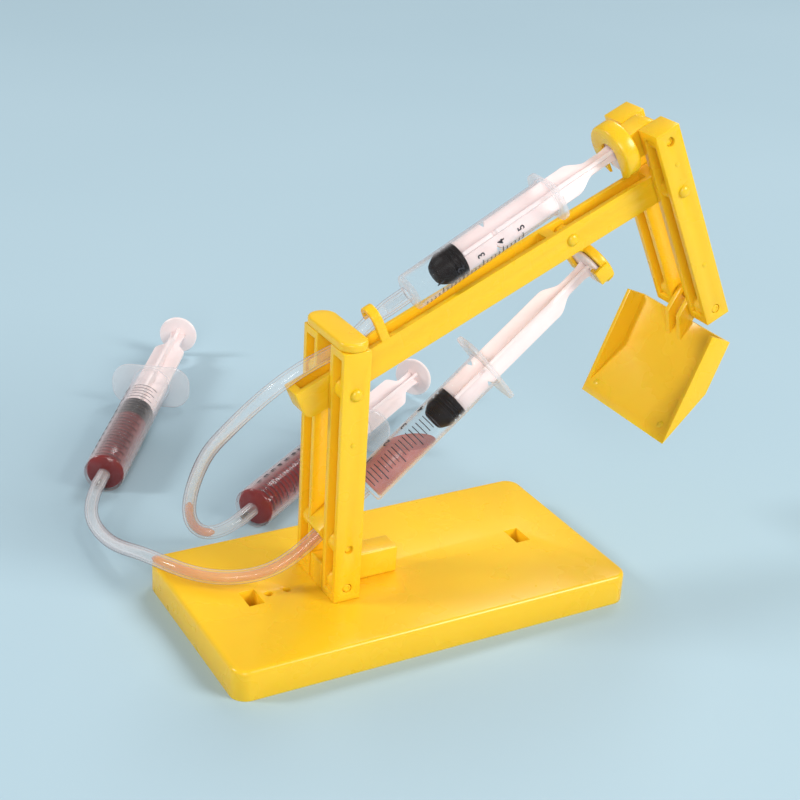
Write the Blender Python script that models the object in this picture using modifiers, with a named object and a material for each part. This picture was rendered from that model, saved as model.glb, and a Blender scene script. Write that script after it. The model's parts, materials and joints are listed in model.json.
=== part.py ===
"""Hydraulic arm kit: a moulded arm on a base plate, moved by two syringe cylinders that two hand syringes drive
through clear tubes. X runs along the base towards the bucket, Z is up. Lengths below are in millimetres."""

import math

import bmesh
import bpy
from mathutils import Matrix, Vector

MM = 0.001

# Base and post
BASE_L, BASE_W, BASE_H = 162.0, 84.0, 12.0
BASE_CORNER_R = 6.0
LEG_W = 10.4            # leg width in the XZ plane
LEG_IN, LEG_OUT = 5.1, 15.7     # |y| of a leg's inner and outer face
LEG_FLANGE = 2.2
LEG_WEB_HALF = 1.2
POST_X = -26.5
POST_TOP = 109.8
SEAT = 0.15             # gap between stacked pieces

# Pivots, as (x, z)
A_BOOM = (-26.4, 94.0)
B_LIFT = (-26.4, 33.2)
E_ELBOW = (103.9, 152.7)
T_CLIP = (94.7, 171.9)
K_BUCKET = (127.2, 103.8)
PIN_R = 1.6
PIN_GAP = 0.3
REACH_SLACK = 0.81      # play at an arm pin where a linkage loop is left open

# Boom, in its own frame: u along it from the hinge, n across it
BOOM_ANGLE = 24.25
BOOM_U0, BOOM_U1 = -16.8, 149.4
BOOM_HALF_N = 5.7
BOOM_HALF_Y = 4.7
LUG_SLOT = (95.2, 113.0)
C_U = 100.2             # lift clip pin

# Syringes
SMALL = dict(od=13.8, bore=12.1, barrel=61.3, rod=69.7, flange=(32.0, 16.0, 1.8), disc_r=8.2, rib=5.2, stem=2.7)
LARGE = dict(od=17.0, bore=15.2, barrel=85.0, rod=87.8, flange=(36.0, 20.0, 2.0), disc_r=9.2, rib=6.6, stem=3.2)
NOZZLE_R, NOZZLE_BORE_R, NOZZLE_L = 2.1, 1.1, 10.0
PISTON_L = 11.4
DISC_T = 1.6
LIFT_ORIGIN, LIFT_ANGLE, LIFT_PISTON = (-12.6, 47.9), 39.8, 45.5
ELBOW_ORIGIN, ELBOW_ANGLE, ELBOW_PISTON = (0.57, 121.8), 28.1, 22.3
LIFT_CONTROL = dict(at=(-72.7, 115.9, 8.62), azimuth=56.4, tilt=1.08, piston=56.9)
ELBOW_CONTROL = dict(at=(-27.8, 65.1, 8.62), azimuth=34.75, tilt=1.08, piston=58.2)

# Tubes
TUBE_OD = 5.4
TUBE_STEP = 13.0

YELLOW = ((0.93, 0.50, 0.02), 0.30)
CLEAR = ((0.86, 0.90, 0.92), 0.12)
PLUNGER = ((0.90, 0.84, 0.84), 0.35)
RUBBER = ((0.02, 0.02, 0.02), 0.55)
FLUID = ((0.42, 0.03, 0.05), 0.15)
PALE_FLUID = ((0.85, 0.36, 0.22), 0.15)
TUBING = ((0.90, 0.90, 0.88), 0.18)

for old in list(bpy.data.objects):
    bpy.data.objects.remove(old, do_unlink=True)
KIT = bpy.data.collections.new("hydraulic_arm_kit")
CUTTERS = bpy.data.collections.new("cutters")
bpy.context.scene.collection.children.link(KIT)
bpy.context.scene.collection.children.link(CUTTERS)
CUTTERS.hide_render = True


# ---------------------------------------------------------------- building blocks

def frame(origin, along, across):
    """A placement matrix in metres: local X is `along`, local Y is `across`."""
    x = Vector(along).normalized()
    y = Vector(across).normalized()
    z = x.cross(y)
    turn = Matrix((x, y, z)).transposed().to_4x4()
    return Matrix.Translation(Vector(origin) * MM) @ turn @ Matrix.Scale(MM, 4)


def side_frame(origin=(0.0, 0.0), angle=0.0, y=0.0):
    """Local X runs at `angle` above the base's length, local Y square to it upwards, local Z towards -Y."""
    a = math.radians(angle)
    return frame((origin[0], y, origin[1]), (math.cos(a), 0, math.sin(a)), (-math.sin(a), 0, math.cos(a)))


def axis_frame(origin, direction, up=(0, 0, 1)):
    """Local Z is `direction`, and local X is square to it in the level plane."""
    z = Vector(direction).normalized()
    x = Vector(up).cross(z).normalized()
    return frame(origin, x, z.cross(x))


def in_side(origin, angle, along, across):
    a = math.radians(angle)
    return (origin[0] + along * math.cos(a) - across * math.sin(a),
            origin[1] + along * math.sin(a) + across * math.cos(a))


def finish_mesh(name, source):
    """The evaluated shape of `source` as one mesh object in world space, closed and facing out."""
    bpy.context.view_layer.update()
    graph = bpy.context.evaluated_depsgraph_get()
    mesh = bpy.data.meshes.new_from_object(source.evaluated_get(graph))
    mesh.transform(source.matrix_world)
    bpy.data.objects.remove(source, do_unlink=True)
    bm = bmesh.new()
    bm.from_mesh(mesh)
    bmesh.ops.remove_doubles(bm, verts=bm.verts, dist=1e-6)
    bmesh.ops.recalc_face_normals(bm, faces=bm.faces)
    bm.to_mesh(mesh)
    bm.free()
    mesh.materials.clear()
    made = bpy.data.objects.new(name, mesh)
    KIT.objects.link(made)
    return made


def plate(name, outline, z0, z1, place, holes=(), edge=0.0):
    """A flat outline, less the outlines in `holes`, filled and extruded from local z0 to z1."""
    data = bpy.data.curves.new(name, "CURVE")
    data.dimensions = "2D"
    data.fill_mode = "BOTH"
    data.extrude = (z1 - z0) / 2
    for points in [outline, *holes]:
        spline = data.splines.new("POLY")
        spline.points.add(len(points) - 1)
        for point, (x, y) in zip(spline.points, points):
            point.co = (x, y, 0, 1)
        spline.use_cyclic_u = True
    obj = bpy.data.objects.new(name, data)
    KIT.objects.link(obj)
    obj.matrix_world = place @ Matrix.Translation((0, 0, (z0 + z1) / 2))
    made = finish_mesh(name, obj)
    if edge:
        round_edges(made, edge)
    return made


def box(name, lo, hi, place=None, edge=0.0):
    x0, y0, z0 = lo
    x1, y1, z1 = hi
    place = place or Matrix.Scale(MM, 4)
    return plate(name, [(x0, y0), (x1, y0), (x1, y1), (x0, y1)], z0, z1, place, edge=edge)


def turned(name, profile, place, steps=36):
    """A profile of (radius, height) points, top to bottom, turned about local Z."""
    mesh = bpy.data.meshes.new(name)
    closed = profile[0][0] > 0
    edges = [(i, i + 1) for i in range(len(profile) - 1)]
    if closed:
        edges.append((len(profile) - 1, 0))
    mesh.from_pydata([(r * MM, 0, h * MM) for r, h in profile], edges, [])
    obj = bpy.data.objects.new(name, mesh)
    KIT.objects.link(obj)
    screw = obj.modifiers.new("turn", "SCREW")
    screw.steps = steps
    screw.render_steps = steps
    screw.use_merge_vertices = True
    screw.merge_threshold = 0.00001
    obj.matrix_world = place @ Matrix.Scale(1 / MM, 4)
    return finish_mesh(name, obj)


def rod(name, xz, r, y0, y1, steps=24):
    """A plain round bar along Y."""
    place = frame((xz[0], 0, xz[1]), (1, 0, 0), (0, 0, -1))
    return turned(name, [(0, y1), (r, y1), (r, y0), (0, y0)], place, steps)


def round_edges(obj, width, segments=2, angle=50):
    bevel = obj.modifiers.new("edge", "BEVEL")
    bevel.width = width * MM
    bevel.segments = segments
    bevel.limit_method = "ANGLE"
    bevel.angle_limit = math.radians(angle)


def hide(tool):
    KIT.objects.unlink(tool)
    CUTTERS.objects.link(tool)
    tool.hide_render = True
    tool.display_type = "WIRE"


def combine(obj, tool, operation):
    mod = obj.modifiers.new(operation.lower(), "BOOLEAN")
    mod.operation = operation
    mod.solver = "EXACT"
    mod.object = tool
    hide(tool)


def cut(obj, *tools):
    for tool in tools:
        combine(obj, tool, "DIFFERENCE")


def add(obj, *tools):
    for tool in tools:
        combine(obj, tool, "UNION")


def arc(cx, cy, r, a0, a1, count):
    span = [math.radians(a0 + (a1 - a0) * i / count) for i in range(count + 1)]
    return [(cx + r * math.cos(a), cy + r * math.sin(a)) for a in span]


def circle(cx, cy, r, count=24):
    return arc(cx, cy, r, 0, 360 * (count - 1) / count, count - 1)


def rounded(w, h, r, count=6, cx=0.0, cy=0.0):
    x, y = w / 2 - r, h / 2 - r
    return (arc(cx + x, cy + y, r, 0, 90, count) + arc(cx - x, cy + y, r, 90, 180, count)
            + arc(cx - x, cy - y, r, 180, 270, count) + arc(cx + x, cy - y, r, 270, 360, count))


def hull(points):
    """The convex outline round some points, anticlockwise."""
    points = sorted(set((round(x, 5), round(y, 5)) for x, y in points))

    def half(run):
        out = []
        for p in run:
            while len(out) > 1 and ((out[-1][0] - out[-2][0]) * (p[1] - out[-2][1])
                                    - (out[-1][1] - out[-2][1]) * (p[0] - out[-2][0])) <= 1e-9:
                out.pop()
            out.append(p)
        return out[:-1]
    return half(points) + half(points[::-1])


def paint(obj, look, alpha=1.0):
    (red, green, blue), roughness = look
    name = obj.name + "_material"
    material = bpy.data.materials.new(name)
    material.use_nodes = True
    shader = material.node_tree.nodes["Principled BSDF"]
    shader.inputs["Base Color"].default_value = (red, green, blue, 1)
    shader.inputs["Roughness"].default_value = roughness
    shader.inputs["Metallic"].default_value = 0.0
    shader.inputs["Alpha"].default_value = alpha
    obj.data.materials.append(material)
    return obj


def origin_at(obj, x, y, z):
    """Moves the object's origin, not its shape."""
    shift = Vector((x, y, z)) * MM
    obj.data.transform(Matrix.Translation(-shift))
    obj.location = shift
    return obj


# ---------------------------------------------------------------- moulded pieces

def recess_outline(a0, a1, bosses, side):
    """One recess of an H-section leg, along it from a0 to a1. Round bosses stand in it at the pins."""
    boss_r = 4.3
    stops = [a0, a1]
    for a in bosses:
        for i in range(13):
            angle = math.radians(16.2 + (180 - 32.4) * i / 12)
            stops.append(a - boss_r * math.cos(angle))
    stops = sorted(s for s in stops if a0 <= s <= a1)
    inner = []
    for s in stops:
        reach = [math.sqrt(max(boss_r ** 2 - (s - a) ** 2, 0)) for a in bosses]
        inner.append((s, max([LEG_WEB_HALF] + reach)))
    wall = LEG_W / 2 + 1
    outline = inner + [(a1, wall), (a0, wall)]
    return [(x, side * y) for x, y in outline]


def leg(name, start, end, side, holes):
    """An H-section leg between two (x, z) points. `holes` lists (distance from the start, radius)."""
    length = math.dist(start, end)
    angle = math.degrees(math.atan2(end[1] - start[1], end[0] - start[0]))
    place = side_frame(start, angle)
    z0, z1 = sorted((-side * LEG_IN, -side * LEG_OUT))
    obj = box(name, (0, -LEG_W / 2, z0), (length, LEG_W / 2, z1), place, edge=0.4)
    bosses = [a for a, r in holes]
    for face in (-1, 1):
        outline = recess_outline(3.0, length - 3.0, bosses, face)
        cut(obj, plate(f"{name}_recess", outline, z0 + LEG_FLANGE, z1 - LEG_FLANGE, place))
    for a, r in holes:
        cut(obj, turned(f"{name}_hole", [(0, z1 + 1), (r, z1 + 1), (r, z0 - 1), (0, z0 - 1)],
                        place @ Matrix.Translation((a, 0, 0)), 24))
    return paint(obj, YELLOW)


def pin(name, xz, r, reach, dome):
    """A pin along Y with its domed head, if any, outside the near leg."""
    near = -LEG_OUT - SEAT
    place = frame((xz[0], 0, xz[1]), (1, 0, 0), (0, 0, -1))
    if dome:
        r2, rise = dome
        cap = [(r2 * math.sin(math.radians(a)), near - rise * math.cos(math.radians(a)))
               for a in (0, 30, 60, 90)]
        profile = [(0, reach), (r, reach), (r, near)] + cap[::-1]
    else:
        profile = [(0, reach), (r, reach), (r, -reach), (0, -reach)]
    return origin_at(paint(turned(name, profile, place, 20), YELLOW), xz[0], 0, xz[1])


def build_base():
    base = plate("base_plate", rounded(BASE_L, BASE_W, BASE_CORNER_R, 5), 0, BASE_H, Matrix.Scale(MM, 4), edge=1.6)
    base.modifiers["edge"].segments = 3
    # The underside is a grid of hollow cells between ribs, with a solid spine under the post.
    cell, rib, roof = 23.8, 2.0, BASE_H - 2.5
    for column in range(3):
        x0 = 2.5 + column * (cell + rib)
        for y0 in (8.5, 24.75):
            for sx in (-1, 1):
                for sy in (-1, 1):
                    xs, ys = sorted((sx * x0, sx * (x0 + cell))), sorted((sy * y0, sy * (y0 + 14.25)))
                    cut(base, box("base_cell", (xs[0], ys[0], -1), (xs[1], ys[1], roof)))
    for x0 in (3.5, 27.5):
        cut(base, box("base_spine_cell", (x0, -6.5, -1), (x0 + 22, 6.5, roof)))
    cut(base, box("base_slot_left", (-60, -5, -1), (-54, 5, BASE_H + 1)))
    cut(base, box("base_slot_right", (53.5, -5, -1), (59.5, 5, BASE_H + 1)))
    for x in (-50.3, -43.0):
        cut(base, turned("base_hole", [(0, 14), (1.6, 14), (1.6, -1), (0, -1)],
                         Matrix.Translation((x * MM, 0, 0)) @ Matrix.Scale(MM, 4), 20))
    paint(base, YELLOW)

    block = box("foot_block", (-31.7, -4.6, BASE_H + SEAT), (0, 4.6, 22.8), edge=0.7)
    cut(block, rod("foot_block_hole", (POST_X, 17.2), PIN_R + PIN_GAP - 0.1, -6, 6))
    paint(block, YELLOW)


def build_post():
    foot = (POST_X, BASE_H + SEAT)
    holes = [(17.2 - foot[1], PIN_R + PIN_GAP - 0.1), (B_LIFT[1] - foot[1], 1.65), (A_BOOM[1] - foot[1], PIN_R + PIN_GAP)]
    for name, side in (("post_leg_near", -1), ("post_leg_far", 1)):
        leg(name, foot, (POST_X, POST_TOP), side, holes)
    pin("leg_pin", (POST_X, 17.2), PIN_R - 0.1, 15.3, None)
    pin("boom_pin", A_BOOM, PIN_R, 15.3, (2.3, 1.3))
    cap = plate("post_cap", rounded(10.8, 33.0, 5.2, 8, -26.6), POST_TOP + SEAT, 113.3, Matrix.Scale(MM, 4), edge=0.9)
    paint(cap, YELLOW)


def build_boom():
    place = side_frame(A_BOOM, BOOM_ANGLE)
    half_n, half_y = BOOM_HALF_N, BOOM_HALF_Y
    outline = ([(BOOM_U1, -half_n), (BOOM_U1, half_n), (BOOM_U0, half_n)]
               + arc(BOOM_U0 + 3.5, -half_n + 3.5, 3.5, 180, 270, 5))
    boom = plate("boom_beam", outline, -half_y, half_y, place, edge=0.4)
    wall = half_y - 2.0
    rear = (BOOM_U0 + 3, LUG_SLOT[0] - 3.8)
    cut(boom, box("boom_top_channel", (rear[0], 2.6, -wall), (rear[1], 8, wall), place))
    cut(boom, box("boom_low_channel", (rear[0], -8, -wall), (rear[1], -2.6, wall), place))
    front = [(LUG_SLOT[0], -8), (LUG_SLOT[1], -8), (LUG_SLOT[1], 2 - half_n), (137, 2 - half_n), (137, 8),
             (LUG_SLOT[0], 8)]
    cut(boom, plate("boom_front_channel", front, -wall, wall, place))
    elbow_u = math.dist(A_BOOM, E_ELBOW)
    for u, r in ((0, PIN_R + PIN_GAP), (C_U, 1.5 + PIN_GAP), (elbow_u, PIN_R + PIN_GAP)):
        cut(boom, turned("boom_hole", [(0, 7), (r, 7), (r, -7), (0, -7)],
                         place @ Matrix.Translation((u, 0, 0)), 24))
    origin_at(paint(boom, YELLOW), A_BOOM[0], 0, A_BOOM[1])

    # The hook stands on the near wall and curls over the tube.
    at = in_side(A_BOOM, BOOM_ANGLE, 20.5, 0)
    a = math.radians(BOOM_ANGLE)
    across = frame((at[0], 0, at[1]), (0, 1, 0), (-math.sin(a), 0, math.cos(a)))
    ring, inner, outer = 13.2, 3.0, 5.0
    shape = [(-outer, half_n + 0.1), (-outer + 2.1, half_n + 0.1)]
    shape += arc(0, ring, inner, 180, -20, 16)
    shape += arc(0, ring, outer, -20, 180, 16)
    paint(plate("nozzle_hook", shape, -1.75, 1.75, across, edge=0.35), YELLOW)

    c_xz = in_side(A_BOOM, BOOM_ANGLE, C_U, 0)
    near = -half_y - SEAT
    pin_place = frame((c_xz[0], 0, c_xz[1]), (1, 0, 0), (0, 0, -1))
    head = [(2.3 * math.sin(math.radians(t)), near - 1.3 * math.cos(math.radians(t))) for t in (0, 30, 60, 90)]
    paint(turned("lift_clip_pin", [(0, 4.5), (1.5, 4.5), (1.5, near)] + head[::-1], pin_place, 20), YELLOW)


def build_forearm():
    down = (Vector(K_BUCKET) - Vector(T_CLIP)).normalized()
    start = Vector(T_CLIP) - down * 4.8
    end = Vector(K_BUCKET) + down * 4.8
    elbow = (Vector(E_ELBOW) - start).dot(down)
    holes = [(4.8, 1.8), (elbow, PIN_R + PIN_GAP), ((Vector(K_BUCKET) - start).dot(down), 1.8)]
    for name, side in (("forearm_leg_near", -1), ("forearm_leg_far", 1)):
        origin_at(leg(name, tuple(start), tuple(end), side, holes), E_ELBOW[0], 0, E_ELBOW[1])
    pin("elbow_pin", E_ELBOW, PIN_R, 15.3, (2.3, 1.3))
    pin("rod_clip_pin", T_CLIP, 1.5, 14.7, None)
    pin("bucket_pin", K_BUCKET, 1.5, 15.4, None)


def build_bucket():
    width, wall = 53.7, 1.9
    front_top, back_top, bend, lip = (117.8, 97.85), (126.7, 94.35), (118.6, 74.1), (100.7, 56.25)
    bucket = plate("bucket", [front_top, lip, bend, back_top], -width / 2, width / 2, side_frame(), edge=0.3)

    def inset(p, q, r, depth):
        """Where the two walls p-q and q-r meet when both are moved in by `depth`."""
        d1 = (Vector(q) - Vector(p)).normalized()
        d2 = (Vector(r) - Vector(q)).normalized()
        n1, n2 = Vector((-d1.y, d1.x)), Vector((-d2.y, d2.x))
        return Vector(q) + (n1 + n2) * depth / (1 + n1.dot(n2))

    corner = inset(back_top, bend, lip, -wall)
    back_dir = (Vector(back_top) - Vector(bend)).normalized()
    floor_dir = (Vector(lip) - Vector(bend)).normalized()
    hollow = [tuple(corner), tuple(corner + back_dir * 40), (90, 125), (75, 60), tuple(corner + floor_dir * 40)]
    cut(bucket, plate("bucket_hollow", hollow, -width / 2 + wall, width / 2 - wall, side_frame()))
    inner_back = corner + back_dir * 13.5
    gusset = hull(circle(K_BUCKET[0], K_BUCKET[1], 3.5, 20) + [
        (119.6, 97.0), tuple(inner_back - back_dir * 2 + Vector((0.8, -0.3))), (126.0, 94.1)])
    for y0, y1 in ((-4.5, -2.3), (2.3, 4.5)):
        add(bucket, plate("bucket_lug", gusset, -y1, -y0, side_frame()))
    cut(bucket, rod("bucket_hole", K_BUCKET, 1.8, -6, 6))
    origin_at(paint(bucket, YELLOW), K_BUCKET[0], 0, K_BUCKET[1])


def build_trunnion():
    """The block that swings between the post legs and holds the lift cylinder's nozzle and tube."""
    place = side_frame(B_LIFT, LIFT_ANGLE)
    bore = 2.46
    outline = hull(circle(0, 0, 4.4, 20) + [(-6.5, bore + 4.4), (8.5, bore + 4.4), (8.5, -1.8), (-6.5, -1.8)])
    block = plate("lift_trunnion", outline, -4.6, 4.6, place, edge=0.5)
    for side in (-1, 1):
        y0, y1 = sorted((side * 3.9, side * 14.6))
        add(block, rod("trunnion_journal", B_LIFT, 1.35, y0, y1))
    start = in_side(B_LIFT, LIFT_ANGLE, 0, bore)
    a = math.radians(LIFT_ANGLE)
    along = axis_frame((start[0], 0, start[1]), (math.cos(a), 0, math.sin(a)), (0, 1, 0))
    cut(block, turned("trunnion_bore", [(0, 14), (3.0, 14), (3.0, -12), (0, -12)], along, 24))
    origin_at(paint(block, YELLOW), B_LIFT[0], 0, B_LIFT[1])


# ---------------------------------------------------------------- syringes

def build_barrel(name, size, place, ears_across):
    """A clear barrel with its nozzle and finger flange. Local Z runs from the nozzle to the thumb."""
    outer, inner = size["od"] / 2, size["bore"] / 2
    length = size["barrel"]
    long_side, short_side, thick = size["flange"]
    profile = [
        (inner, length + thick), (outer + 0.7, length + thick), (outer + 0.7, length), (outer, length),
        (outer, 0.7), (outer - 0.7, 0), (NOZZLE_R, 0), (NOZZLE_R - 0.2, -NOZZLE_L),
        (NOZZLE_BORE_R, -NOZZLE_L), (NOZZLE_BORE_R, 1.2), (inner, 1.7)]
    barrel = turned(name, profile, place, 36)
    size_xy = (long_side, short_side) if ears_across else (short_side, long_side)
    outline = rounded(size_xy[0], size_xy[1], short_side / 2 - 0.6, 7)
    add(barrel, plate(f"{name}_flange", outline, length + 0.1, length + thick - 0.1, place, holes=[circle(0, 0, outer - 0.2, 36)]))
    return paint(barrel, CLEAR, 0.35)


def dome(size, at):
    """The piston's nose, from its tip outwards, as (radius, height)."""
    r = size["bore"] / 2 - 0.15
    return [(0, at - PISTON_L), (r * 0.32, at - PISTON_L + 0.5), (r * 0.66, at - PISTON_L + 1.9),
            (r * 0.9, at - PISTON_L + 3.9), (r, at - PISTON_L + 4.6)]


def build_piston(name, size, place, at):
    r = size["bore"] / 2 - 0.15
    low = r - 0.7
    nose = dome(size, at)[::-1]
    top = at - PISTON_L + 4.6
    profile = [(0, at), (r, at), (r, at - 1.3), (low, at - 1.8), (low, at - 2.6), (r, at - 3.1), (r, at - 3.9),
               (low, at - 4.4), (low, top + 0.8), (r, top + 0.5)] + nose
    return paint(turned(name, profile, place, 28), RUBBER)


def build_plunger(name, size, place, at):
    """A cross-ribbed rod that narrows to a stem before its thumb disc."""
    rod_l, rib, stem = size["rod"], size["rib"], size["stem"]
    z0 = at + 0.3
    disc = at + rod_l
    taper = [(0.0, rib), (rod_l - 31, rib), (rod_l - 26, rib - 0.45), (rod_l - 21, rib - 1.5), (rod_l - 17, stem + 0.25),
             (rod_l - 14, stem), (rod_l + 0.4, stem)]
    edge = [(z0 + s, w) for s, w in taper]
    outline = edge + [(s, -w) for s, w in edge[::-1]]
    base = turned(name, [(0, disc + DISC_T), (size["disc_r"] - 0.3, disc + DISC_T), (size["disc_r"], disc + DISC_T - 0.4),
                         (size["disc_r"], disc + 0.4), (size["disc_r"] - 0.3, disc), (0, disc)], place, 32)
    add(base, turned(f"{name}_seat", [(0, z0 + 1.4), (rib - 0.1, z0 + 1.4), (rib - 0.1, z0 - 0.05), (0, z0 - 0.05)],
                     place, 24))
    for turn in (0, 90):
        flat = place @ Matrix.Rotation(math.radians(turn), 4, "Z") @ Matrix.Rotation(math.radians(-90), 4, "Y")
        add(base, plate(f"{name}_rib", outline, -0.75, 0.75, flat))
    return paint(base, PLUNGER)


def build_fluid(name, size, place, at, look, level=None):
    """The liquid between the barrel's closed end and the piston's nose. `level` cuts it off at a height."""
    r = size["bore"] / 2 - 0.15
    if level is None:
        nose = [(x if i == 0 else x, z - 0.25) for i, (x, z) in enumerate(dome(size, at))]
        profile = nose[:-1] + [(r, nose[-1][1]), (r, 2.0), (r - 0.6, 1.85), (0, 1.6)]
        return paint(turned(name, profile, place, 28), look, 0.8)
    fluid = turned(name, [(0, at - PISTON_L - 0.3), (r, at - PISTON_L - 0.3), (r, 2.0), (r - 0.6, 1.85), (0, 1.6)],
                   place, 36)
    cut(fluid, box(f"{name}_air", (-60, -30, level), (90, 30, level + 80)))
    return paint(fluid, look, 0.6)


def build_lift_cylinder():
    a = math.radians(LIFT_ANGLE)
    place = axis_frame((LIFT_ORIGIN[0], 0, LIFT_ORIGIN[1]), (math.cos(a), 0, math.sin(a)), (0, 1, 0))
    build_barrel("lift_barrel", SMALL, place, True)
    build_piston("lift_piston", SMALL, place, LIFT_PISTON)
    build_plunger("lift_plunger", SMALL, place, LIFT_PISTON)
    build_fluid("lift_fluid", SMALL, place, LIFT_PISTON, PALE_FLUID, level=66.5)

    # The clip's plate closes behind the thumb disc, its claws hold the disc's sides and its lug reaches the boom.
    side = side_frame(LIFT_ORIGIN, LIFT_ANGLE)
    disc = LIFT_PISTON + SMALL["rod"]
    c_xz = in_side(A_BOOM, BOOM_ANGLE, C_U, 0)
    ca = math.cos(a) * (c_xz[0] - LIFT_ORIGIN[0]) + math.sin(a) * (c_xz[1] - LIFT_ORIGIN[1])
    cp = -math.sin(a) * (c_xz[0] - LIFT_ORIGIN[0]) + math.cos(a) * (c_xz[1] - LIFT_ORIGIN[1])
    back = disc + DISC_T + 0.3
    clip = turned("lift_rod_clip", [(0, back + 3.6), (8.8, back + 3.6), (9.4, back + 3.0), (9.4, back + 0.3), (9.1, back),
                                    (0, back)], place, 40)
    for s in (-1, 1):
        y0, y1 = sorted((s * 8.5, s * 10.0))
        add(clip, box("lift_claw", (disc - 1.6, -3, y0), (back + 2.4, 3, y1), side))
        y0, y1 = sorted((s * 6.4, s * 9.9))
        add(clip, box("lift_claw_lip", (disc - 1.55, -2.95, y0), (disc - 0.3, 2.95, y1), side))
    lug = hull(circle(ca, cp, 3.75, 24) + [(back + 0.05, 9.7), (back + 0.6, 7), (back + 3.5, 7),
                                           (back + 3.5, 9.7)])
    add(clip, plate("lift_lug", lug, -2.4, 2.4, side))
    hole = [(0, 6), (1.5 + PIN_GAP + REACH_SLACK, 6), (1.5 + PIN_GAP + REACH_SLACK, -6), (0, -6)]
    cut(clip, turned("lift_lug_hole", hole, side @ Matrix.Translation((ca, cp, 0)), 28))
    paint(clip, YELLOW)


def build_elbow_cylinder():
    a = math.radians(ELBOW_ANGLE)
    place = axis_frame((ELBOW_ORIGIN[0], 0, ELBOW_ORIGIN[1]), (math.cos(a), 0, math.sin(a)), (0, 1, 0))
    build_barrel("elbow_barrel", SMALL, place, False)
    build_piston("elbow_piston", SMALL, place, ELBOW_PISTON)
    build_plunger("elbow_plunger", SMALL, place, ELBOW_PISTON)

    # A round cap takes the thumb disc through a slot that opens towards the boom. Its tongue goes to the leg pin.
    side = side_frame(ELBOW_ORIGIN, ELBOW_ANGLE)
    disc = ELBOW_PISTON + SMALL["rod"]
    front, back = disc - 1.6, disc + 4.6
    cap = turned("elbow_rod_clip", [(0, back), (10.2, back), (10.9, back - 0.7), (10.9, front + 0.6), (10.3, front),
                                    (0, front)], place, 44)
    cross = frame((ELBOW_ORIGIN[0], 0, ELBOW_ORIGIN[1]), (0, 1, 0), (-math.sin(a), 0, math.cos(a)))
    pocket_r = SMALL["disc_r"] + 0.35
    for r, s0, s1 in ((pocket_r, disc - 0.3, disc + DISC_T + 0.3), (4.4, front - 1, disc)):
        shape = arc(0, 0, r, 0, 180, 20) + [(-r, -20), (r, -20)]
        cut(cap, plate("elbow_clip_pocket", shape, s0, s1, cross))
    t_a = math.cos(a) * (T_CLIP[0] - ELBOW_ORIGIN[0]) + math.sin(a) * (T_CLIP[1] - ELBOW_ORIGIN[1])
    drop = 1.35    # how far the leg pin sinks against the cap over the elbow's travel
    tongue = hull([(back - 1.2, 4.6), (back - 1.2, -5.8)] + circle(t_a, 0, 4.8, 24) + circle(t_a, -drop, 4.8, 24))
    r = 1.5 + PIN_GAP + 0.08
    slot = hull(circle(t_a, 0, r, 24) + circle(t_a, -drop, r, 24))
    add(cap, plate("elbow_tongue", tongue, -4.6, 4.6, side, holes=[slot]))
    paint(cap, YELLOW)


def build_control(prefix, spec):
    tilt, turn = math.radians(spec["tilt"]), math.radians(spec["azimuth"])
    ray = (math.cos(turn) * math.cos(tilt), math.sin(turn) * math.cos(tilt), math.sin(tilt))
    place = axis_frame(spec["at"], ray)
    build_barrel(f"{prefix}_barrel", LARGE, place, True)
    build_piston(f"{prefix}_piston", LARGE, place, spec["piston"])
    build_plunger(f"{prefix}_plunger", LARGE, place, spec["piston"])
    build_fluid(f"{prefix}_fluid", LARGE, place, spec["piston"], FLUID)


# ---------------------------------------------------------------- tubes

def smooth_path(route, step):
    """Points at about `step` along a smooth curve through the route."""
    points = [Vector(p) for p in route]
    ends = [points[0] * 2 - points[1]] + points + [points[-1] * 2 - points[-2]]
    fine = []
    for i in range(1, len(ends) - 2):
        p0, p1, p2, p3 = ends[i - 1:i + 3]
        for k in range(24):
            t = k / 24
            fine.append(0.5 * (2 * p1 + (p2 - p0) * t + (2 * p0 - 5 * p1 + 4 * p2 - p3) * t * t
                               + (3 * p1 - p0 - 3 * p2 + p3) * t ** 3))
    fine.append(points[-1])
    total = sum((q - p).length for p, q in zip(fine, fine[1:]))
    count = max(int(round(total / step)), 2)
    out, run, k = [fine[0]], 0.0, 1
    for p, q in zip(fine, fine[1:]):
        length = (q - p).length
        while k < count and run + length >= total * k / count:
            out.append(p.lerp(q, (total * k / count - run) / length))
            k += 1
        run += length
    return out + [fine[-1]]


def tube(name, route, step):
    data = bpy.data.curves.new(name, "CURVE")
    data.dimensions = "3D"
    data.bevel_depth = TUBE_OD / 2 * MM
    data.bevel_resolution = 3
    data.use_fill_caps = True
    # A short straight length at each end keeps the tube's faces square to the nozzles.
    first, last = Vector(route[0]), Vector(route[-1])
    path = [first] + smooth_path([first.lerp(Vector(route[1]), 0.4), *route[1:-1], last.lerp(Vector(route[-2]), 0.3)], step)
    path.append(last)
    spline = data.splines.new("POLY")
    spline.points.add(len(path) - 1)
    for point, p in zip(spline.points, path):
        point.co = (p.x * MM, p.y * MM, p.z * MM, 1)
    obj = bpy.data.objects.new(name, data)
    KIT.objects.link(obj)
    return paint(obj, TUBING, 0.45)


def nozzle_tip(spec, beyond):
    tilt, turn = math.radians(spec["tilt"]), math.radians(spec["azimuth"])
    s = -NOZZLE_L - beyond
    x, y, z = spec["at"]
    return (x + s * math.cos(turn) * math.cos(tilt), y + s * math.sin(turn) * math.cos(tilt), z + s * math.sin(tilt))


def side_point(origin, angle, s, across=0.0):
    x, z = in_side(origin, angle, s, across)
    return (x, 0.0, z)


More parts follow.
